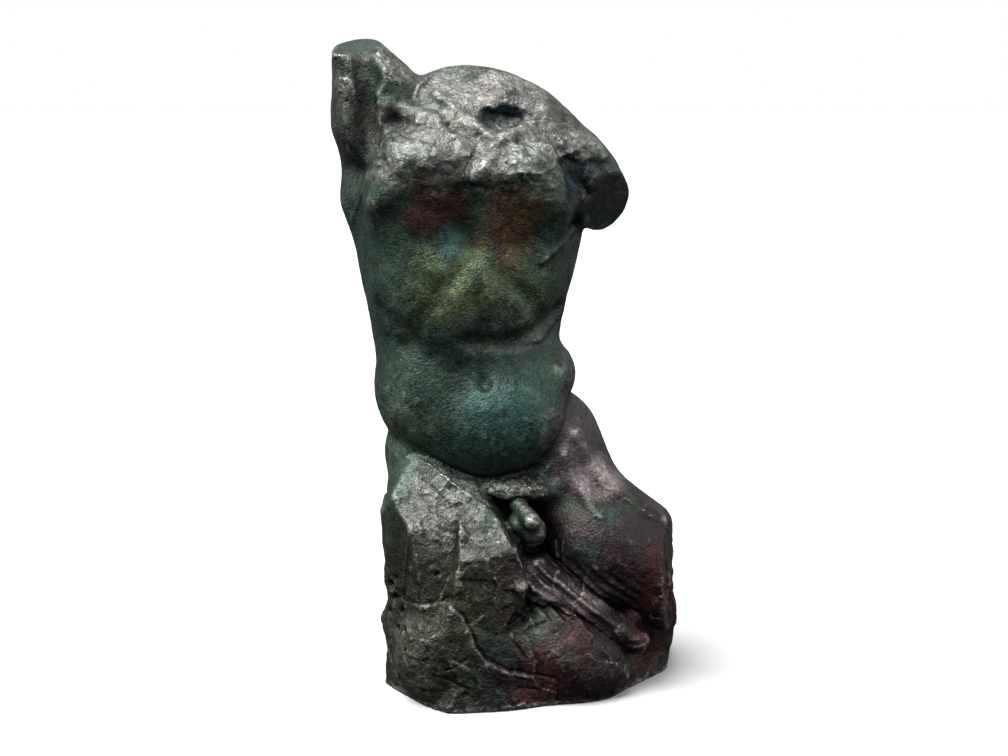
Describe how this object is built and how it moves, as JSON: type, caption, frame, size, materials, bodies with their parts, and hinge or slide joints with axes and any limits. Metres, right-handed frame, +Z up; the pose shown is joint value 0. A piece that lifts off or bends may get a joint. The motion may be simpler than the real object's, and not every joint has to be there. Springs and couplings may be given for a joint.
{
  "type": "bronze torso sculpture",
  "caption": "Cast bronze male torso without head, arms or lower legs, seated on a rock cast in one with it, in green, brown and dark red patina.",
  "frame": {"origin": "middle of the plan, on the flat underside of the rock", "axes": "+Z up along the figure, -Y to the figure's front, +X to the figure's left"},
  "size_m": [0.5431, 0.369, 1.0012],
  "materials": {
    "bronze": "patinated bronze, satin, mottled green, grey-brown and dark red, rubbed bright on the ridges"
  },
  "bodies": {
    "root": {"torso": "bronze"}
  },
  "joints": []
}
